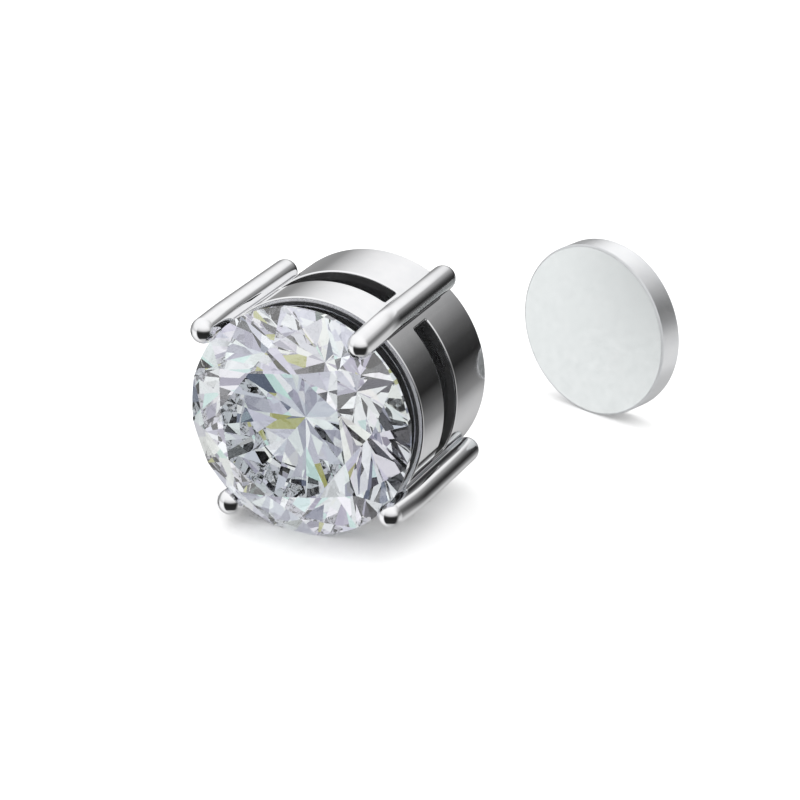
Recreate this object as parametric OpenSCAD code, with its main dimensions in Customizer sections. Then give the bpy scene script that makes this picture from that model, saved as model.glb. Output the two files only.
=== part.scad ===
// Magnetic stud earring: a round brilliant stone in a four-prong basket, and its loose magnet disc.
// The origin is the middle of the basket's rear face, which lies on the ear lobe. The stone faces -Y.

/* [Stone] */
// Diameter of the stone at its girdle
stone_d = 7.9; // [6:0.1:10]
// Width of the table, from corner to corner
table_d = 4.6; // [3:0.1:5]
// Height of the crown, from the girdle to the table
crown_h = 1.2; // [0.8:0.05:1.6]
// Thickness of the girdle at its corners
girdle_h = 0.24; // [0.16:0.02:0.4]
// Depth of the pavilion, from the girdle to the point
pavilion_h = 3.4; // [2.6:0.05:4.2]
// Share of the way from the table to the girdle that the star facets reach
star_reach = 0.5; // [0.4:0.05:0.6]
// Share of the way from the girdle to the point that the lower girdle facets reach
lower_reach = 0.77; // [0.6:0.01:0.85]
// How far the stone is turned from having a corner of its table halfway between two prongs
stone_turn = 22.5; // [0:0.5:45]

/* [Prongs] */
// Diameter of each prong
prong_d = 0.88; // [0.7:0.02:1.2]
// How far the straight part of a prong reaches in past the edge of the stone
prong_grip = 0.05; // [0.03:0.01:0.25]
// How far the middle of a prong's round tip stands in front of the girdle
tip_reach = 0.38; // [0.2:0.02:0.6]
// How far each prong's tip bends in over the stone: upper right, upper left, lower left, lower right
tip_bends = [0.4, 0.04, 0.36, 0.1]; // [0.02:0.02:0.5]
// How far the two rods of a prong reach past the mitre where they meet
elbow_lap = 0.01; // [0.01:0.01:0.03]
// How far the rear end of a prong stops short of the rear face
prong_short = 0.1; // [0.05:0.05:0.5]
// Clearance between the stone and the groove that holds it
seat_gap = 0.03; // [0.02:0.01:0.06]

/* [Bands] */
// Thickness of the bands' wall
band_wall = 0.35; // [0.2:0.01:0.6]
// How deep the prongs are let into the bands
solder_depth = 0.05; // [0.04:0.01:0.15]
// Distance from the middle of the girdle back to the front rim
rim_back = 0.98; // [0.7:0.02:1.2]
// Width of the front band
front_band_w = 1.7; // [1.4:0.05:2.2]
// Width of the slots between the two bands
slot_w = 1; // [0.6:0.05:1.3]
// Width of the solid metal that joins the bands beside each prong
joint_w = 1.3; // [1:0.05:2]
// Bevel on the edges of the rims and slots
edge_bevel = 0.07; // [0.03:0.01:0.1]

/* [Magnets] */
// Thickness of the magnet in the basket
cup_magnet_h = 2; // [1:0.1:3]
// Space between the stone's point and the magnet
point_gap = 0.6; // [0.2:0.05:1]
// Clearance round the magnet in the basket
magnet_gap = 0.05; // [0.03:0.01:0.1]
// Bevel on the edges of both magnets
magnet_bevel = 0.08; // [0.04:0.01:0.15]
// Diameter of the loose disc
disc_d = 6.35; // [5:0.05:8]
// Thickness of the loose disc
disc_h = 1; // [0.6:0.05:2]
// How far the loose disc stands to the side of the basket's axis
disc_side = 5.2; // [4:0.1:10]
// How far the loose disc stands behind the rear face
disc_back = 8.6; // [6:0.1:14]
// How far the loose disc is turned from facing straight ahead
disc_turn = 17.5; // [0:0.5:40]

/* [Hidden] */
$fn = 96;

MAINS = 8;
GIRDLE_STEPS = 4;
PRONG_TURNS = [45, 131, 224, 315];
STEEL = [0.78, 0.79, 0.81];
CLEAR = [0.93, 0.95, 0.98];
MAGNET = [0.9, 0.92, 0.93];

girdle_r = stone_d / 2;
prong_ring_r = girdle_r - prong_grip + prong_d / 2;
band_r = girdle_r - prong_grip + solder_depth;
bore_r = band_r - band_wall;
setting_depth = cup_magnet_h + point_gap + pavilion_h + girdle_h / 2;
rim_z = setting_depth - rim_back;
slot_top_z = rim_z - front_band_w;
slot_low_z = slot_top_z - slot_w;
prong_rear_z = prong_short + prong_d / 2;
tip_run = rim_back + tip_reach;

// The setting lies on the edge of the stone, and is rolled until its lower left prong meets the surface too
floor_drop = max(girdle_r, band_r);
setting_turn = asin((floor_drop - prong_d / 2) / prong_ring_r) + 180 - PRONG_TURNS[2];

// How far cuts reach past what they cut
cut_over = 1;

// Heights above the middle of the girdle, for a stone that faces +Z
half_step = 180 / MAINS;
table_r = table_d / 2;
girdle_top = girdle_h / 2;
table_top = girdle_top + crown_h;
star_r = table_r * cos(half_step) * (1 - star_reach) + girdle_r * star_reach;
star_top = bezel_height(star_r * cos(half_step));
lower_r = girdle_r * (1 - lower_reach);
lower_drop = main_height(lower_r * cos(half_step));

// Height of a bezel facet and of a pavilion main facet, at a distance along the middle of the facet
function bezel_height(r) = table_top + (girdle_top - table_top) * (r - table_r) / (girdle_r - table_r);
function main_height(r) = -girdle_top - pavilion_h * (1 - r / girdle_r);

// Height of the facet through a side corner and two corners of the girdle, at an angle on the girdle's edge.
// The corners of the girdle lie at the angles 0 and half_step, and the side corner at half_step.
function edge_height(angle, side_r, side_h, girdle_z) =
    girdle_z + (side_h - girdle_z) * (girdle_r * cos(angle - half_step / 2) - girdle_r * cos(half_step / 2))
    / (side_r * cos(half_step / 2) - girdle_r * cos(half_step / 2));

function ring_point(r, angle, z) = [r * cos(angle), r * sin(angle), z];

// Angle into the half sector that an edge point lies in, counted from the nearest main facet
function fold(angle) = abs((angle + half_step) % (2 * half_step) - half_step);

RIM_COUNT = 2 * MAINS * GIRDLE_STEPS;
rim_step = 360 / RIM_COUNT;
RIM_INDEX = [0 : RIM_COUNT - 1];

table_ring = [for (i = [0 : MAINS - 1]) ring_point(table_r, 2 * half_step * i, table_top)];
star_ring = [for (i = [0 : MAINS - 1]) ring_point(star_r, 2 * half_step * i + half_step, star_top)];
rim_top_ring = [for (i = RIM_INDEX)
    ring_point(girdle_r, rim_step * i, edge_height(fold(rim_step * i), star_r, star_top, girdle_top))];
rim_low_ring = [for (i = RIM_INDEX)
    ring_point(girdle_r, rim_step * i, edge_height(fold(rim_step * i), lower_r, lower_drop, -girdle_top))];
lower_ring = [for (i = [0 : MAINS - 1]) ring_point(lower_r, 2 * half_step * i + half_step, lower_drop)];
stone_points = concat(table_ring, star_ring, rim_top_ring, rim_low_ring, lower_ring,
    [[0, 0, -girdle_top - pavilion_h]]);

STAR_AT = MAINS;
RIM_TOP_AT = 2 * MAINS;
RIM_LOW_AT = RIM_TOP_AT + RIM_COUNT;
LOWER_AT = RIM_LOW_AT + RIM_COUNT;
POINT_AT = LOWER_AT + MAINS;

// Index of each corner, counted round the stone
function table_at(i) = i % MAINS;
function star_at(i) = STAR_AT + (i + MAINS) % MAINS;
function lower_at(i) = LOWER_AT + (i + MAINS) % MAINS;
function rim_top_at(j) = RIM_TOP_AT + (j + RIM_COUNT) % RIM_COUNT;
function rim_low_at(j) = RIM_LOW_AT + (j + RIM_COUNT) % RIM_COUNT;
function main_rim(i) = 2 * GIRDLE_STEPS * i;

stone_faces = concat(
    [[for (i = [MAINS - 1 : -1 : 0]) i]],
    [for (i = [0 : MAINS - 1]) [table_at(i), table_at(i + 1), star_at(i)]],
    [for (i = [0 : MAINS - 1]) [table_at(i), star_at(i), rim_top_at(main_rim(i))]],
    [for (i = [0 : MAINS - 1]) [table_at(i), rim_top_at(main_rim(i)), star_at(i - 1)]],
    [for (i = [0 : MAINS - 1]) for (k = [0 : 2 * GIRDLE_STEPS - 1])
        [star_at(i), rim_top_at(main_rim(i) + k + 1), rim_top_at(main_rim(i) + k)]],
    [for (j = RIM_INDEX) [rim_top_at(j), rim_top_at(j + 1), rim_low_at(j + 1), rim_low_at(j)]],
    [for (i = [0 : MAINS - 1]) for (k = [0 : 2 * GIRDLE_STEPS - 1])
        [lower_at(i), rim_low_at(main_rim(i) + k), rim_low_at(main_rim(i) + k + 1)]],
    [for (i = [0 : MAINS - 1]) [POINT_AT, rim_low_at(main_rim(i)), lower_at(i)]],
    [for (i = [0 : MAINS - 1]) [POINT_AT, lower_at(i - 1), rim_low_at(main_rim(i))]]
);

// Turns a shape that is built along +Z from the rear face so that it faces -Y
module facing_front() {
    rotate([90, 0, 0]) children();
}

// Faces a piece of the setting forwards, rolled as the setting lies
module lying_in_place() {
    facing_front() rotate([0, 0, setting_turn]) children();
}

module bevelled_disc(d, h, bevel) {
    r = d / 2;
    rotate_extrude() polygon([
        [0, 0], [r - bevel, 0], [r, bevel], [r, h - bevel], [r - bevel, h], [0, h]
    ]);
}

// Both bands as one tube, with bevelled rims
module band_tube() {
    rotate_extrude() polygon([
        [bore_r, 0], [band_r - edge_bevel, 0], [band_r, edge_bevel],
        [band_r, rim_z - edge_bevel], [band_r - edge_bevel, rim_z],
        [bore_r + edge_bevel, rim_z], [bore_r, rim_z - edge_bevel]
    ]);
}

// Ring-shaped cut whose mouth is widened by the bevel
module slot_ring() {
    inner_r = bore_r - cut_over;
    outer_r = band_r + cut_over;
    mouth_r = band_r - edge_bevel;
    flare = edge_bevel + cut_over;
    rotate_extrude() polygon([
        [inner_r, slot_low_z], [mouth_r, slot_low_z], [outer_r, slot_low_z - flare],
        [outer_r, slot_top_z + flare], [mouth_r, slot_top_z], [inner_r, slot_top_z]
    ]);
}

// Solid metal that is left beside each prong
module joint_blocks() {
    for (turn = PRONG_TURNS) rotate([0, 0, turn])
        translate([0, -joint_w / 2, 0]) cube([band_r + 2 * cut_over, joint_w, rim_z]);
}

module bands() {
    difference() {
        band_tube();
        difference() {
            slot_ring();
            joint_blocks();
        }
    }
}

// Rod along +Z from the origin, with a round end past its length
module round_rod(length) {
    cylinder(d = prong_d, h = length);
    translate([0, 0, length]) sphere(d = prong_d);
}

// The space in front of a level near the mitre where a prong's straight rod meets its tip
module before_mitre(tip_angle, shift) {
    translate([0, 0, shift]) rotate([0, -tip_angle / 2, 0]) translate([-prong_d, -prong_d, 0])
        cube([2 * prong_d, 2 * prong_d, tip_run + 2 * prong_d]);
}

// Straight rod along the bands, and a tip that bends in over the stone from the front rim
module prong(tip_bend) {
    tip_angle = atan(tip_bend / tip_run);
    translate([prong_ring_r, 0, rim_z]) {
        difference() {
            translate([0, 0, prong_d]) mirror([0, 0, 1]) round_rod(rim_z - prong_rear_z + prong_d);
            before_mitre(tip_angle, elbow_lap);
        }
        intersection() {
            rotate([0, -tip_angle, 0]) translate([0, 0, -prong_d]) round_rod(tip_run / cos(tip_angle) + prong_d);
            before_mitre(tip_angle, -elbow_lap);
        }
    }
}

module prongs() {
    for (i = [0 : len(PRONG_TURNS) - 1]) rotate([0, 0, PRONG_TURNS[i]]) prong(tip_bends[i]);
}

// The stone's outline, turned about its axis and widened by the clearance
module stone_seat() {
    rotate_extrude() polygon([
        [0, -girdle_top - pavilion_h - 2 * seat_gap], [girdle_r + seat_gap, -girdle_top - seat_gap],
        [girdle_r + seat_gap, girdle_top + seat_gap], [star_r + seat_gap, star_top + seat_gap],
        [table_r + seat_gap, table_top + seat_gap], [0, table_top + seat_gap]
    ]);
}

module basket() {
    color(STEEL) lying_in_place() difference() {
        union() {
            bands();
            prongs();
        }
        translate([0, 0, setting_depth]) stone_seat();
    }
}

module stone() {
    color(CLEAR) lying_in_place() translate([0, 0, setting_depth]) rotate([0, 0, stone_turn])
        polyhedron(points = stone_points, faces = stone_faces, convexity = 4);
}

module cup_magnet() {
    color(MAGNET) lying_in_place() bevelled_disc(2 * (bore_r - magnet_gap), cup_magnet_h, magnet_bevel);
}

// The loose disc stands on its edge, on the surface that the setting lies on
module back_disc() {
    color(MAGNET) translate([disc_side, disc_back, disc_d / 2 - floor_drop])
        rotate([0, 0, -disc_turn]) facing_front() bevelled_disc(disc_d, disc_h, magnet_bevel);
}

basket();
stone();
cup_magnet();
back_disc();
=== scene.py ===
import math

import bmesh
import bpy
from mathutils import Matrix, Vector
from mathutils.bvhtree import BVHTree
from mathutils.interpolate import poly_3d_calc


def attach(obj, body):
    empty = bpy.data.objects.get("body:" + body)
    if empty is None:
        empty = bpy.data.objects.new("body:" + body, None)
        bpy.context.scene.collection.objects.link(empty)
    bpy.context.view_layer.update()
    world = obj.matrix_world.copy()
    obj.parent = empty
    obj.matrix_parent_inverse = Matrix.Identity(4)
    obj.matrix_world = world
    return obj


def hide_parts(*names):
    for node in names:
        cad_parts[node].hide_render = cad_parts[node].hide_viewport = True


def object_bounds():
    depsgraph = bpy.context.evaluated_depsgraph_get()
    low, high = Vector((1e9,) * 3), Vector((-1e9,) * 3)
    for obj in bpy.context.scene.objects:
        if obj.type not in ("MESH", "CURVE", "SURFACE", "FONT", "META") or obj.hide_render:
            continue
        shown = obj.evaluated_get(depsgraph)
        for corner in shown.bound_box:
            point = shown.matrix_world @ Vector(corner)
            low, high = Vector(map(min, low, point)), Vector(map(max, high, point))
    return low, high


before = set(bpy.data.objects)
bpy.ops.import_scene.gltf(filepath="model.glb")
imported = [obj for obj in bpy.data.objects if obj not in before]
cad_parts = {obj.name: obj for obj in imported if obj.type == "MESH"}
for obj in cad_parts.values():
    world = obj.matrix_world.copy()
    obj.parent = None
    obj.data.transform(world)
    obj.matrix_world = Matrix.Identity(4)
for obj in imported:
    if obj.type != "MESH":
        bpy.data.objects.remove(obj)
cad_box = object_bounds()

# Looks of a magnetic stud earring: polished basket, cut stone, plated magnet, satin disc, and a small
# studio. Sizes are in metres. The setting is built along +Z from its rear face and then laid in its place.
MM = 0.001

# The stone's girdle, and radius and height above it of the corners of its table and stars
GIRDLE_R, GIRDLE_Z = 3.95 * MM, 6.12 * MM
GIRDLE_HALF = 0.12 * MM
TABLE_R, TABLE_TOP = 2.3 * MM, 1.32 * MM
STAR_R, STAR_TOP = 3.0375 * MM, 0.952 * MM
# Depth of the stone's point below the girdle, and the gap round the stone in its grooves
POINT_DROP = 3.52 * MM
SEAT_GAP = 0.03 * MM

# The tube with its front rim and its slots, the metal left beside each prong, and the rounding of all edges
BAND_R, BORE_R = 3.95 * MM, 3.6 * MM
RIM_Z = 5.14 * MM
SLOT_LOW, SLOT_TOP = 2.44 * MM, 3.44 * MM
JOINT_W = 1.3 * MM
EDGE_ROUND = 0.06 * MM
# How far in from the tube's outside its rims are bare metal, before painted shade darkens them
UNSHADED_REACH = 0.11 * MM
# Parts of a face's normal along the radius: a face of the bore has more than the first, towards the axis,
# and a cut face less than the second
BORE_INWARD, CUT_OUTWARD = 0.5, 0.05

# The prongs: the ring that they stand on, where their round rear ends start, and the run of their tips
PRONG_R = 0.44 * MM
PRONG_RING_R = 4.34 * MM
PRONG_REAR = 0.54 * MM
TIP_RUN = 1.36 * MM
# Each prong's angle in degrees, and how far its tip leans in over its run
PRONG_TURNS = (45, 131, 224, 315)
TIP_BENDS = (0.4 * MM, 0.04 * MM, 0.36 * MM, 0.1 * MM)
# Half the height over which a prong bends
BEND_HALF = 0.35 * MM

# The magnet inside the tube
MAGNET_R, MAGNET_H = 3.55 * MM, 2 * MM
MAGNET_ROUND = 0.08 * MM

# The loose disc, the place of its rear face's middle seen from above, and its turn about the vertical
DISC_R, DISC_H = 3.175 * MM, 1 * MM
DISC_PLACE = (5.2 * MM, 8.6 * MM)
DISC_TURN = math.radians(17.5)
# Cosines of the angle to the disc's axis: a flat face is above the first, and the rim below the second
FLAT_LEAN, RIM_LEAN = 0.98, 0.2

# The setting is rolled until its lower left prong and the stone's edge lie on the floor
FLOOR_Z = cad_box[0].z
SETTING_TURN = math.asin((GIRDLE_R - PRONG_R) / PRONG_RING_R) + math.radians(180 - PRONG_TURNS[2])
FACING_FRONT = Matrix.Rotation(math.radians(90), 4, "X")
SETTING_PLACE = FACING_FRONT @ Matrix.Rotation(SETTING_TURN, 4, "Z")

# How finely round shapes are drawn
ROUND_STEPS = 192
JOINT_STEPS, SLOT_STEPS = 10, 48
PRONG_STEPS, CAP_STEPS, BEND_STEPS = 64, 16, 12
ROUND_SEGMENTS = 3
# Edges sharper than this are rounded
SHARP_ANGLE = math.radians(30)
# How far towards the middle of its face a corner's normal is looked up
NORMAL_PULL = 0.02


def new_object(name, data):
    obj = bpy.data.objects.new(name, data)
    bpy.context.scene.collection.objects.link(obj)
    return obj


def remove_object(obj):
    bpy.data.objects.remove(obj, do_unlink=True)


def mesh_from_faces(name, points, faces):
    """A smooth mesh with its faces turned outwards."""
    mesh = bpy.data.meshes.new(name)
    mesh.from_pydata(points, [], faces)
    work = bmesh.new()
    work.from_mesh(mesh)
    bmesh.ops.recalc_face_normals(work, faces=work.faces)
    for face in work.faces:
        face.smooth = True
    work.to_mesh(mesh)
    work.free()
    return mesh


def apply_modifiers(obj):
    """Puts what the object's modifiers make of its mesh in the mesh's place."""
    graph = bpy.context.evaluated_depsgraph_get()
    mesh = bpy.data.meshes.new_from_object(obj.evaluated_get(graph))
    obj.modifiers.clear()
    obj.data = mesh


def rounded(obj, width):
    """Rounds the object's sharp edges, with normals that keep its flats flat."""
    modifier = obj.modifiers.new("rounding", "BEVEL")
    modifier.width = width
    modifier.segments = ROUND_SEGMENTS
    modifier.limit_method = "ANGLE"
    modifier.angle_limit = SHARP_ANGLE
    modifier.harden_normals = True
    modifier.miter_outer = "MITER_ARC"
    apply_modifiers(obj)
    return obj


def boolean(obj, tool, operation):
    """Joins the tool to the object or cuts it away."""
    modifier = obj.modifiers.new("boolean", "BOOLEAN")
    modifier.object = tool
    modifier.operation = operation
    modifier.solver = "EXACT"
    apply_modifiers(obj)


def revolved(name, profile):
    """A solid turned about Z from a closed profile of (radius, height), whose ends lie on the axis."""
    rim = profile[1:-1]
    points = [(0, 0, profile[0][1]), (0, 0, profile[-1][1])]
    for i in range(ROUND_STEPS):
        turn = 2 * math.pi * i / ROUND_STEPS
        points += [(r * math.cos(turn), r * math.sin(turn), z) for r, z in rim]
    count = len(rim)
    faces = []
    for i in range(ROUND_STEPS):
        here = 2 + count * i
        there = 2 + count * ((i + 1) % ROUND_STEPS)
        faces.append((0, there, here))
        faces.append((1, here + count - 1, there + count - 1))
        faces += [(here + k, there + k, there + k + 1, here + k + 1) for k in range(count - 1)]
    return mesh_from_faces(name, points, faces)


def plain_disc(name, radius, height):
    """A flat round magnet with rounded edges, its rear face at height 0."""
    inner = radius - 2 * MAGNET_ROUND
    profile = [(0, 0), (inner, 0), (radius, 0), (radius, height), (inner, height), (0, height)]
    return rounded(new_object(name, revolved(name, profile)), MAGNET_ROUND)


def wall_columns():
    """Outer angle and inner angle of each column of the wall, and whether a slot follows it."""
    outer_half = math.asin(JOINT_W / 2 / BAND_R)
    inner_half = math.asin(JOINT_W / 2 / BORE_R)
    columns = []
    for degrees, following in zip(PRONG_TURNS, PRONG_TURNS[1:] + (PRONG_TURNS[0] + 360,)):
        turn = math.radians(degrees)
        sector = math.radians(following - degrees)
        for k in range(JOINT_STEPS):
            share = 2 * k / JOINT_STEPS - 1
            columns.append((turn + share * outer_half, turn + share * inner_half, False))
        for k in range(SLOT_STEPS):
            share = k / SLOT_STEPS
            outer = turn + outer_half + share * (sector - 2 * outer_half)
            inner = turn + inner_half + share * (sector - 2 * inner_half)
            columns.append((outer, inner, True))
    return columns


def bands():
    """The tube whose four slots leave a front band and a rear band, joined beside each prong."""
    levels = (0, SLOT_LOW, SLOT_TOP, RIM_Z)
    columns = wall_columns()
    count = len(columns)
    points = []
    for outer, inner, _ in columns:
        points += [(BAND_R * math.cos(outer), BAND_R * math.sin(outer), z) for z in levels]
        points += [(BORE_R * math.cos(inner), BORE_R * math.sin(inner), z) for z in levels]

    def at(column, level, inner=False):
        return (column % count) * 2 * len(levels) + level + inner * len(levels)

    faces = []
    for i, (_, _, slotted) in enumerate(columns):
        j = i + 1
        for k in (0, 2) if slotted else (0, 1, 2):
            for inner in (False, True):
                faces.append((at(i, k, inner), at(j, k, inner), at(j, k + 1, inner), at(i, k + 1, inner)))
        for k in (0, 3, 1, 2) if slotted else (0, 3):
            faces.append((at(i, k), at(j, k), at(j, k, True), at(i, k, True)))
        if slotted != columns[i - 1][2]:
            faces.append((at(i, 1), at(i, 2), at(i, 2, True), at(i, 1, True)))
    return rounded(new_object("bands", mesh_from_faces("bands", points, faces)), EDGE_ROUND)


def prong_centre(bend, z):
    """Radius and lean of a prong's centre line at a height. Its tip leans in from the rim."""
    slope = bend / TIP_RUN
    past = z - RIM_Z
    if past <= -BEND_HALF:
        return PRONG_RING_R, 0
    if past >= BEND_HALF:
        return PRONG_RING_R - slope * past, math.atan(slope)
    share = (past + BEND_HALF) / (2 * BEND_HALF)
    return PRONG_RING_R - slope * BEND_HALF * share * share, math.atan(slope * share)


def prong_rings(bend):
    """Centre, radius and lean of each ring of a prong, and the points at its rear end and its tip."""
    top = RIM_Z + TIP_RUN
    heights = [PRONG_REAR, RIM_Z / 2]
    heights += [RIM_Z + BEND_HALF * (2 * k / BEND_STEPS - 1) for k in range(BEND_STEPS + 1)]
    heights += [top]
    rings = []
    for k in range(1, CAP_STEPS):
        angle = math.pi / 2 * (1 - k / CAP_STEPS)
        z = PRONG_REAR - PRONG_R * math.sin(angle)
        rings.append((PRONG_RING_R, z, PRONG_R * math.cos(angle), 0))
    for z in heights:
        r, lean = prong_centre(bend, z)
        rings.append((r, z, PRONG_R, lean))
    r, lean = prong_centre(bend, top)
    for k in range(1, CAP_STEPS):
        angle = math.pi / 2 * k / CAP_STEPS
        along = PRONG_R * math.sin(angle)
        place = (r - along * math.sin(lean), top + along * math.cos(lean))
        rings.append((*place, PRONG_R * math.cos(angle), lean))
    rear_end = (PRONG_RING_R, PRONG_REAR - PRONG_R)
    tip_end = (r - PRONG_R * math.sin(lean), top + PRONG_R * math.cos(lean))
    return rings, rear_end, tip_end


def prong(degrees, bend):
    """A round rod with round ends, whose tip bends in over the stone."""
    rings, rear_end, tip_end = prong_rings(bend)
    points = [(rear_end[0], 0, rear_end[1]), (tip_end[0], 0, tip_end[1])]
    for r, z, radius, lean in rings:
        for i in range(PRONG_STEPS):
            turn = 2 * math.pi * i / PRONG_STEPS
            out = radius * math.cos(turn)
            points.append((r + out * math.cos(lean), radius * math.sin(turn), z + out * math.sin(lean)))
    faces = []
    last = len(rings) - 1
    for i in range(PRONG_STEPS):
        j = (i + 1) % PRONG_STEPS
        faces.append((0, 2 + i, 2 + j))
        faces.append((1, 2 + last * PRONG_STEPS + j, 2 + last * PRONG_STEPS + i))
        for k in range(last):
            low = 2 + k * PRONG_STEPS
            high = low + PRONG_STEPS
            faces.append((low + i, low + j, high + j, high + i))
    mesh = mesh_from_faces("prong", points, faces)
    mesh.transform(Matrix.Rotation(math.radians(degrees), 4, "Z"))
    return new_object("prong", mesh)


def stone_seat():
    """The room that the stone takes up, with the gap round it."""
    profile = [
        (0, -POINT_DROP - 2 * SEAT_GAP),
        (GIRDLE_R + SEAT_GAP, -GIRDLE_HALF - SEAT_GAP),
        (GIRDLE_R + SEAT_GAP, GIRDLE_HALF + SEAT_GAP),
        (STAR_R + SEAT_GAP, STAR_TOP + SEAT_GAP),
        (TABLE_R + SEAT_GAP, TABLE_TOP + SEAT_GAP),
        (0, TABLE_TOP + SEAT_GAP),
    ]
    mesh = revolved("seat", profile)
    mesh.transform(Matrix.Translation((0, 0, GIRDLE_Z)))
    return new_object("seat", mesh)


def source_surface(mesh):
    """A search tree of a mesh's triangles, with the corners and corner normals of each."""
    mesh.calc_loop_triangles()
    normals = [Vector(n.vector) for n in mesh.corner_normals]
    points = [v.co.copy() for v in mesh.vertices]
    triangles = [tuple(t.vertices) for t in mesh.loop_triangles]
    corners = [[normals[i] for i in t.loops] for t in mesh.loop_triangles]
    return BVHTree.FromPolygons(points, triangles), points, triangles, corners


def surface_normal(surface, place):
    """The normal of a source surface at its point nearest to the place."""
    tree, points, triangles, corners = surface
    spot, _, index, _ = tree.find_nearest(place)
    weights = poly_3d_calc([points[i] for i in triangles[index]], spot)
    return sum((n * w for n, w in zip(corners[index], weights)), Vector()).normalized()


def carry_normals(mesh, sources):
    """Gives each corner the normal of the source surface that its face came from."""
    normals = [None] * len(mesh.loops)
    for face in mesh.polygons:
        found = [(s[0].find_nearest(face.center)[3], k) for k, s in enumerate(sources)]
        surface = sources[min(found)[1]]
        for i in face.loop_indices:
            corner = mesh.vertices[mesh.loops[i].vertex_index].co
            normals[i] = surface_normal(surface, corner.lerp(face.center, NORMAL_PULL))
            if normals[i].dot(face.normal) < 0:
                normals[i].negate()
    mesh.normals_split_custom_set(normals)


# Material numbers: of the basket's faces painted dark as shade and of its cut faces, of the inside magnet,
# whose front is painted dark as shade, and of the loose disc
PAINTED_SHADE, CUT = 1, 2
PLATE, SHADED_FRONT = 0, 1
FLAT, RIM, ROUNDING = 0, 1, 2


def mark_wall(mesh):
    """Tells the inside of the tube and its slots, which are painted dark as shade, and the cut faces of its
    rims, which darken inwards as painted shade, from the rest.
    """
    for face in mesh.polygons:
        height = face.center.z
        across = Vector((face.center.x, face.center.y, 0))
        if height > RIM_Z + EDGE_ROUND or across.length > BAND_R - EDGE_ROUND:
            continue
        outward = face.normal.dot(across) / across.length
        in_slot = SLOT_LOW - EDGE_ROUND < height < SLOT_TOP + EDGE_ROUND
        # The bore and the slots get the near-black painted shade
        if in_slot or outward < -BORE_INWARD:
            face.material_index = PAINTED_SHADE
        elif abs(outward) < CUT_OUTWARD:
            face.material_index = CUT


def basket():
    """The whole metal setting as one solid: both bands and four prongs with grooves for the stone."""
    body = bands()
    seat = stone_seat()
    parts = [body.data.copy(), seat.data.copy()]
    rods = []
    for degrees, bend in zip(PRONG_TURNS, TIP_BENDS):
        rod = prong(degrees, bend)
        parts.append(rod.data.copy())
        boolean(rod, seat, "DIFFERENCE")
        rods.append(rod)
    for rod in rods:
        boolean(body, rod, "UNION")
        remove_object(rod)
    remove_object(seat)
    carry_normals(body.data, [source_surface(p) for p in parts])
    mark_wall(body.data)
    body.data.transform(SETTING_PLACE)
    body.name = "basket_metal"
    return body


def cup_magnet():
    """The magnet in the tube. Its front, under the stone, is painted dark as shade."""
    obj = plain_disc("cup_magnet_plated", MAGNET_R, MAGNET_H)
    obj.data.transform(SETTING_PLACE)
    for face in obj.data.polygons:
        face.material_index = SHADED_FRONT if face.center.y < -MAGNET_H + MAGNET_ROUND else PLATE
    return obj


def back_disc():
    """The loose magnet, which stands on its edge."""
    obj = plain_disc("back_disc_plated", DISC_R, DISC_H)
    place = Matrix.Translation((*DISC_PLACE, DISC_R + FLOOR_Z))
    standing = place @ Matrix.Rotation(-DISC_TURN, 4, "Z")
    obj.data.transform(standing @ FACING_FRONT)
    axis = Vector((-math.sin(DISC_TURN), -math.cos(DISC_TURN), 0))
    for face in obj.data.polygons:
        lean = abs(face.normal.dot(axis))
        face.material_index = FLAT if lean > FLAT_LEAN else ROUNDING if lean > RIM_LEAN else RIM
    return obj


# From where to where most of a noise lies, and the narrower range over which a metal changes its colour
NOISE_LOW, NOISE_HIGH = 0.3, 0.7
PLATING_LOW, PLATING_HIGH = 0.35, 0.65
# Sockets of a node that mixes colours
MIX_SHARE, MIX_FIRST, MIX_SECOND, MIX_RESULT = 0, 6, 7, 2


def grey(value):
    return (value, value, value, 1)


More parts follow.
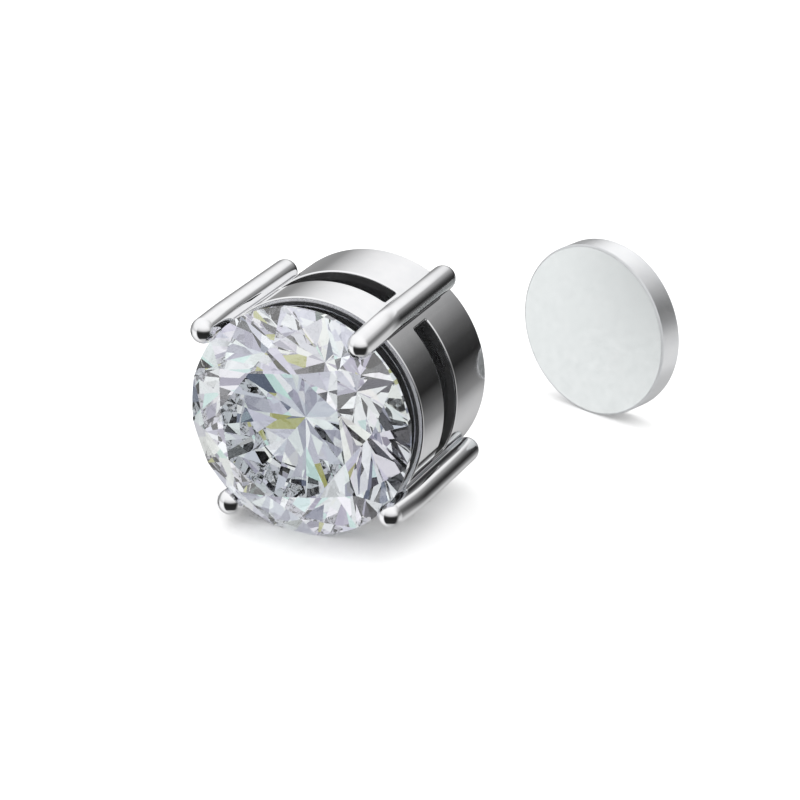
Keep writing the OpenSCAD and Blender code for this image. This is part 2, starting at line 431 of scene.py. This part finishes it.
class Nodes:
    """Makes nodes in one tree. A value given as a socket is linked, and any other is set."""

    def __init__(self, tree):
        self.tree = tree
        tree.nodes.clear()

    def add(self, kind, values=(), **settings):
        node = self.tree.nodes.new(kind)
        for name, value in settings.items():
            setattr(node, name, value)
        for name, value in dict(values).items():
            socket = node.inputs[name]
            if isinstance(value, bpy.types.NodeSocket):
                self.tree.links.new(value, socket)
            else:
                socket.default_value = value
        return node

    def surface(self, kind, values):
        """Adds a shader and puts it on the surface."""
        shader = self.add(kind, values)
        self.add("ShaderNodeOutputMaterial", {"Surface": shader.outputs["BSDF"]})

    def ramp(self, factor, stops, interpolation="LINEAR"):
        """A colour ramp from a list of (position, colour or shade of grey)."""
        node = self.add("ShaderNodeValToRGB", {"Fac": factor})
        node.color_ramp.interpolation = interpolation
        elements = node.color_ramp.elements
        while len(elements) < len(stops):
            elements.new(0.5)
        for element, (position, colour) in zip(elements, stops):
            element.position = position
            element.color = grey(colour) if isinstance(colour, (int, float)) else (*colour, 1)
        return node.outputs["Color"]

    def noise(self, size, detail=2.0):
        """Noise of a grain size in metres, fixed to the piece."""
        place = self.add("ShaderNodeTexCoord").outputs["Object"]
        values = {"Vector": place, "Scale": 1 / size, "Detail": detail}
        return self.add("ShaderNodeTexNoise", values).outputs["Fac"]

    def spread(self, noise, low, high):
        """A noise, spread over a range of values."""
        values = {"Value": noise, "From Min": NOISE_LOW, "From Max": NOISE_HIGH}
        values |= {"To Min": low, "To Max": high}
        return self.add("ShaderNodeMapRange", values).outputs["Result"]

    def plating(self, size, pale, dark):
        """A colour that changes a little over the surface."""
        return self.ramp(self.noise(size), [(PLATING_LOW, dark), (PLATING_HIGH, pale)])

    def step(self, value, start, end):
        """0 up to the start and 1 from the end on, with a smooth change between them."""
        values = {"Value": value, "From Min": start, "From Max": end}
        return self.add("ShaderNodeMapRange", values, interpolation_type="SMOOTHSTEP").outputs["Result"]

    def mix(self, share, first, second):
        """Two colours, mixed by the share of the second."""
        values = {MIX_SHARE: share, MIX_FIRST: first, MIX_SECOND: second}
        return self.add("ShaderNodeMix", values, data_type="RGBA").outputs[MIX_RESULT]

    def vector(self, operation, first, second=None):
        """The outputs of an operation on one or two vectors."""
        values = {0: first} if second is None else {0: first, 1: second}
        return self.add("ShaderNodeVectorMath", values, operation=operation).outputs

    def light(self, colour, strength):
        """Light that comes from a direction of the world."""
        return self.add("ShaderNodeBackground", {"Color": colour, "Strength": strength}).outputs[0]


def new_material(name):
    material = bpy.data.materials.new(name)
    material.use_nodes = True
    return material, Nodes(material.node_tree)


def metal(name, pale, dark, smooth, rough, grain, bump_size, bump_height, metallic=1.0):
    """A plated metal whose colour and polish vary a little over the surface."""
    material, nodes = new_material(name)
    height = nodes.noise(bump_size, detail=3)
    waves = nodes.add("ShaderNodeBump", {"Height": height, "Distance": bump_height})
    nodes.surface("ShaderNodeBsdfPrincipled", {
        "Base Color": nodes.plating(grain, pale, dark),
        "Metallic": metallic,
        "Roughness": nodes.spread(nodes.noise(grain / 3, detail=5), smooth, rough),
        "Normal": waves.outputs["Normal"],
    })
    return material


def polished_metal():
    """The bands and prongs."""
    return metal(
        "polished_metal", (0.9, 0.9, 0.91), (0.86, 0.865, 0.88),
        smooth=0.03, rough=0.07, grain=0.6 * MM, bump_size=0.5 * MM, bump_height=0.0006 * MM,
    )


def plated_metal():
    """The visible rear of the magnet in the tube."""
    return metal(
        "plated_magnet", (0.8, 0.8, 0.8), (0.74, 0.74, 0.75),
        smooth=0.12, rough=0.2, grain=0.5 * MM, bump_size=0.2 * MM, bump_height=0.0008 * MM,
    )


def satin_metal():
    """The loose disc's faces."""
    return metal(
        "satin_magnet", (0.96, 0.992, 0.992), (0.945, 0.98, 0.98),
        smooth=0.42, rough=0.5, grain=0.8 * MM, bump_size=0.06 * MM, bump_height=0.001 * MM,
    )


def edge_metal():
    """The loose disc's rim."""
    return metal(
        "disc_edge", (0.93, 0.94, 0.95), (0.9, 0.91, 0.93),
        smooth=0.2, rough=0.28, grain=0.4 * MM, bump_size=0.3 * MM, bump_height=0.0006 * MM,
    )


def painted_outline_metal():
    """The loose disc's rounded edges, painted a dull grey that stands in for the darker reflection
    outlining its faces.
    """
    return metal(
        "disc_rounding", (0.52, 0.53, 0.54), (0.48, 0.49, 0.5), metallic=0.3,
        smooth=0.5, rough=0.6, grain=0.4 * MM, bump_size=0.06 * MM, bump_height=0.0006 * MM,
    )


# Grain of the colour and of the polish of the painted dark shade in the tube and on its rims
WALL_GRAIN, WALL_POLISH_GRAIN = 0.3 * MM, 0.1 * MM


def cut_metal():
    """The tube's rims: bare metal near the outside, painted darker further in as shade towards the bore."""
    dark = (0.02, 0.02, 0.022, 1)
    material, nodes = new_material("cut_metal")
    place = nodes.add("ShaderNodeTexCoord").outputs["Object"]
    across = nodes.vector("MULTIPLY", place, (1, 0, 1))[0]
    radius = nodes.vector("LENGTH", across)["Value"]
    # Painted shade: the rims turn from metal to near-black towards the bore
    unshaded = nodes.step(radius, BAND_R - UNSHADED_REACH - EDGE_ROUND, BAND_R - UNSHADED_REACH)
    pale = nodes.plating(WALL_GRAIN, (0.9, 0.9, 0.91), (0.84, 0.845, 0.86))
    nodes.surface("ShaderNodeBsdfPrincipled", {
        "Base Color": nodes.mix(unshaded, dark, pale),
        "Metallic": unshaded,
        "Roughness": nodes.spread(nodes.noise(WALL_POLISH_GRAIN, detail=5), low=0.5, high=0.6),
    })
    return material


def painted_dark_shade():
    """Painted shade: a near-black colour on the inside of the tube, its slots and the magnet's front, where
    shade falls.
    """
    material, nodes = new_material("painted_dark_shade")
    nodes.surface("ShaderNodeBsdfPrincipled", {
        "Base Color": nodes.ramp(nodes.noise(WALL_GRAIN), [(NOISE_LOW, 0.012), (NOISE_HIGH, 0.03)]),
        "Roughness": nodes.spread(nodes.noise(WALL_POLISH_GRAIN), low=0.45, high=0.6),
    })
    return material


# Painted fire: faint tints of the stone's facets, which stand in for the coloured flashes of light in the
# clear stone, as share and colour
PAINTED_FIRE_TINTS = [
    (0.0, (0.97, 0.97, 1.0)), (0.3, (0.9, 0.98, 0.96)), (0.5, (0.99, 0.99, 0.99)),
    (0.7, (0.92, 0.91, 0.98)), (0.9, (0.99, 0.98, 0.9)),
]
# Facets are told apart by the cell that their normal falls in. The shift keeps normals off cell borders.
NORMAL_CELL = (0.06, 0.06, 0.06)
NORMAL_SHIFT = (0.0173, 0.0291, 0.0119)
STONE_INDEX = 2.4


def clear_stone():
    """Clear crystal of high index, with a faint painted tint on each facet in place of the coloured flashes
    of light.
    """
    material, nodes = new_material("clear_stone")
    normal = nodes.add("ShaderNodeNewGeometry").outputs["True Normal"]
    shifted = nodes.vector("ADD", normal, NORMAL_SHIFT)[0]
    cell = nodes.vector("SNAP", shifted, NORMAL_CELL)[0]
    facet = nodes.add("ShaderNodeTexWhiteNoise", {"Vector": cell}, noise_dimensions="3D")
    nodes.surface("ShaderNodeBsdfPrincipled", {
        "Base Color": nodes.ramp(facet.outputs["Value"], PAINTED_FIRE_TINTS, "CONSTANT"),
        "Transmission Weight": 1.0,
        "IOR": STONE_INDEX,
        "Roughness": 0.0,
    })
    return material


def wear(obj, *materials):
    """Puts these materials on the object in place of its own. Its faces keep their material numbers."""
    mesh = obj.data
    numbers = [face.material_index for face in mesh.polygons]
    mesh.materials.clear()
    for material in materials:
        mesh.materials.append(material)
    mesh.polygons.foreach_set("material_index", numbers)


# Camera, found by fitting the modelled edges to the photograph
VIEW_AZIMUTH, VIEW_HEIGHT, VIEW_ROLL = (math.radians(d) for d in (23.844, 23.178, 1.543))
VIEW_DISTANCE = 102.772 * MM
VIEW_RIGHT, VIEW_UP = 0.711 * MM, -1.435 * MM
LENS_MM, SENSOR_MM = 135, 36
CLIP_START, CLIP_END = 1 * MM, 10


def camera():
    """The photograph's view. The camera is moved to the right and up without being turned."""
    back = Vector((
        math.sin(VIEW_AZIMUTH) * math.cos(VIEW_HEIGHT),
        -math.cos(VIEW_AZIMUTH) * math.cos(VIEW_HEIGHT),
        math.sin(VIEW_HEIGHT),
    ))
    level = Vector((math.cos(VIEW_AZIMUTH), math.sin(VIEW_AZIMUTH), 0))
    upright = back.cross(level)
    right = math.cos(VIEW_ROLL) * level + math.sin(VIEW_ROLL) * upright
    up = back.cross(right)
    data = bpy.data.cameras.new("camera")
    data.lens = LENS_MM
    data.sensor_width = SENSOR_MM
    data.clip_start = CLIP_START
    data.clip_end = CLIP_END
    obj = new_object("camera", data)
    place = VIEW_RIGHT * right + VIEW_UP * up + VIEW_DISTANCE * back
    turn = Matrix((right, up, back)).transposed()
    obj.matrix_world = Matrix.Translation(place) @ turn.to_4x4()
    bpy.context.scene.camera = obj


# Brightness of the studio that metal mirrors, by the sine of the height above the horizon
REAR_RIGHT_SKY = [
    (-1.0, 0.6), (-0.54, 0.65), (-0.45, 0.5), (-0.36, 0.24), (-0.22, 0.1), (-0.09, 0.02), (0.07, 0.045),
    (0.21, 0.12), (0.34, 0.28), (0.44, 0.42), (0.5, 0.9), (0.54, 1.05), (1.0, 1.1),
]
REAR_LEFT_SKY = [
    (-1.0, 0.6), (-0.5, 0.4), (-0.43, 0.12), (-0.35, 0.12), (-0.25, 0.35), (0.0, 0.3), (0.07, 0.32),
    (0.21, 0.58), (0.34, 0.85), (0.5, 1.05), (1.0, 1.1),
]
RIGHT_SKY = [
    (-1.0, 0.4), (-0.65, 0.5), (-0.54, 0.75), (-0.37, 0.75), (-0.16, 0.6), (0.07, 0.25), (0.29, 0.15),
    (0.48, 0.35), (0.66, 0.6), (0.8, 0.9), (1.0, 1.1),
]
FRONT_RIGHT_SKY = [
    (-1.0, 0.6), (-0.92, 0.6), (-0.82, 0.03), (-0.1, 0.02), (0.08, 0.12), (0.2, 0.5), (0.3, 0.7),
    (0.6, 1.0), (1.0, 1.1),
]
FRONT_LEFT_SKY = [(-1.0, 0.9), (-0.4, 1.1), (-0.1, 1.0), (0.0, 0.7), (0.1, 0.8), (0.3, 1.0), (1.0, 1.1)]
SKY_STRENGTH = 2.0
# Over which part of a direction each sky changes to the next, and the slope of the line, seen from above,
# that parts the front's left from its right
RIGHT_TO_REAR, REAR_TO_LEFT, RIGHT_TO_LEFT = (0.6, 0.85), (0.3, -0.3), (0.15, -0.15)
REAR_TO_FRONT = (0.3, -0.3)
FRONT_SPLIT = 0.7
# The white dome that lights the floor, and the white that surrounds it
DOME_STRENGTH, WHITE_STRENGTH = 1.5, 1.0
# Flags and soft boxes that the stone gathers its light from, as share and colour
STONE_PATCHES = [
    (0.0, (0.01, 0.01, 0.015)), (0.05, (0.17, 0.19, 0.27)), (0.14, (0.42, 0.4, 0.5)),
    (0.3, (0.7, 0.69, 0.79)), (0.52, (0.91, 0.91, 0.93)), (0.75, (0.7, 0.9, 0.86)),
    (0.84, (1.08, 1.08, 1.1)), (0.968, (0.5, 0.5, 0.2)),
]
PATCHES_ACROSS = 4.2
PATCHES_SHIFT = (6.37, 2.84, 2.07)
# The even light, and the numbers of turns inside the stone over which a path changes to it
EVEN_LIGHT = (0.6, 0.6, 0.65)
EVEN_FROM = (7.0, 10.0)


def mirrored_studio(nodes, direction):
    """What metal mirrors: a dark horizon under a bright ceiling, and a pale floor to the front's left."""
    x, y, z = nodes.add("ShaderNodeSeparateXYZ", {"Vector": direction}).outputs
    limits = {"Value": z, "From Min": -1.0, "From Max": 1.0}
    height = nodes.add("ShaderNodeMapRange", limits).outputs["Result"]
    aside = nodes.add("ShaderNodeMath", {0: y, 1: -FRONT_SPLIT, 2: x}, operation="MULTIPLY_ADD").outputs[0]

    def sky(levels):
        return nodes.ramp(height, [((sine + 1) / 2, level / SKY_STRENGTH) for sine, level in levels])

    right = nodes.mix(nodes.step(y, *RIGHT_TO_REAR), sky(RIGHT_SKY), sky(REAR_RIGHT_SKY))
    rear = nodes.mix(nodes.step(x, *REAR_TO_LEFT), right, sky(REAR_LEFT_SKY))
    front = nodes.mix(nodes.step(aside, *RIGHT_TO_LEFT), sky(FRONT_RIGHT_SKY), sky(FRONT_LEFT_SKY))
    return nodes.light(nodes.mix(nodes.step(y, *REAR_TO_FRONT), rear, front), SKY_STRENGTH)


def patched_studio(nodes, direction, depth):
    """What the stone gathers its light from: pale and dark patches, and even light after long paths."""
    brightest = max(max(colour) for _, colour in STONE_PATCHES)

    def dimmed(colour):
        return tuple(c / brightest for c in colour)

    place = nodes.vector("ADD", direction, PATCHES_SHIFT)[0]
    cells = nodes.add("ShaderNodeTexVoronoi", {"Vector": place, "Scale": PATCHES_ACROSS}).outputs["Color"]
    pick = nodes.add("ShaderNodeSeparateXYZ", {"Vector": cells}).outputs[0]
    patches = nodes.ramp(pick, [(share, dimmed(colour)) for share, colour in STONE_PATCHES], "CONSTANT")
    even = (*dimmed(EVEN_LIGHT), 1)
    return nodes.light(nodes.mix(nodes.step(depth, *EVEN_FROM), patches, even), brightest)


def studio():
    """A white surrounding as the camera sees it, and the studio as metal and stone see it."""
    world = bpy.data.worlds.new("studio")
    bpy.context.scene.world = world
    world.use_nodes = True
    nodes = Nodes(world.node_tree)
    direction = nodes.add("ShaderNodeTexCoord").outputs["Generated"]
    ray = nodes.add("ShaderNodeLightPath").outputs
    shader = nodes.light(grey(1), DOME_STRENGTH)
    for kind, surrounding in (
        ("Is Glossy Ray", mirrored_studio(nodes, direction)),
        ("Is Transmission Ray", patched_studio(nodes, direction, ray["Ray Depth"])),
        ("Is Camera Ray", nodes.light(grey(1), WHITE_STRENGTH)),
    ):
        shader = nodes.add("ShaderNodeMixShader", {0: ray[kind], 1: shader, 2: surrounding}).outputs[0]
    nodes.add("ShaderNodeOutputWorld", {"Surface": shader})


# Half the side of the floor, with the grain of its colour and the greys between which that changes
FLOOR_HALF = 400 * MM
FLOOR_GRAIN = 3 * MM
FLOOR_DARK, FLOOR_PALE = 0.9, 0.92
# Place, width and power of the lamp
LAMP_PLACE = (-60 * MM, 30 * MM, 150 * MM)
LAMP_SIZE, LAMP_POWER = 120 * MM, 0.03


def unmirrored(obj):
    """Polished surfaces mirror the studio in this object's place."""
    obj.visible_glossy = False
    obj.visible_transmission = False


def floor():
    """The pale surface that both things stand on."""
    corners = [(-1, -1), (1, -1), (1, 1), (-1, 1)]
    points = [(x * FLOOR_HALF, y * FLOOR_HALF, FLOOR_Z) for x, y in corners]
    obj = new_object("floor", mesh_from_faces("floor", points, [(0, 1, 2, 3)]))
    material, nodes = new_material("floor")
    colour = nodes.ramp(nodes.noise(FLOOR_GRAIN), [(NOISE_LOW, FLOOR_DARK), (NOISE_HIGH, FLOOR_PALE)])
    nodes.surface("ShaderNodeBsdfDiffuse", {"Color": colour})
    wear(obj, material)
    unmirrored(obj)


def key_light():
    """One wide soft lamp above, which faces the origin."""
    data = bpy.data.lights.new("key_light", "AREA")
    data.shape = "DISK"
    data.size = LAMP_SIZE
    data.energy = LAMP_POWER
    obj = new_object("key_light", data)
    obj.location = LAMP_PLACE
    obj.rotation_euler = (-Vector(LAMP_PLACE)).to_track_quat("-Z", "Y").to_euler()
    unmirrored(obj)


# The most turns that a path of light takes, and the most that it adds to a sample
BOUNCES = 128
LIGHT_CLAMP = 10


def render_look():
    """Plain colours, and enough turns of light for the stone."""
    scene = bpy.context.scene
    scene.view_settings.view_transform = "Standard"
    scene.cycles.max_bounces = BOUNCES
    scene.cycles.transmission_bounces = BOUNCES
    scene.cycles.glossy_bounces = BOUNCES
    scene.cycles.sample_clamp_indirect = LIGHT_CLAMP
    scene.cycles.blur_glossy = 0
    scene.cycles.use_denoising = True
    scene.cycles.denoising_input_passes = "RGB"


camera()
studio()
floor()
key_light()
render_look()

# Painted shade: near-black for the inside of the tube, its slots and the magnet's front
shade_paint = painted_dark_shade()

setting = basket()
wear(setting, polished_metal(), shade_paint, cut_metal())
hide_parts("basket")

magnet = cup_magnet()
wear(magnet, plated_metal(), shade_paint)
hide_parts("cup_magnet")

disc = back_disc()
wear(disc, satin_metal(), edge_metal(), painted_outline_metal())
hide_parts("back_disc")

for piece in (setting, magnet, disc):
    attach(piece, "root")
wear(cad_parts["stone"], clear_stone())
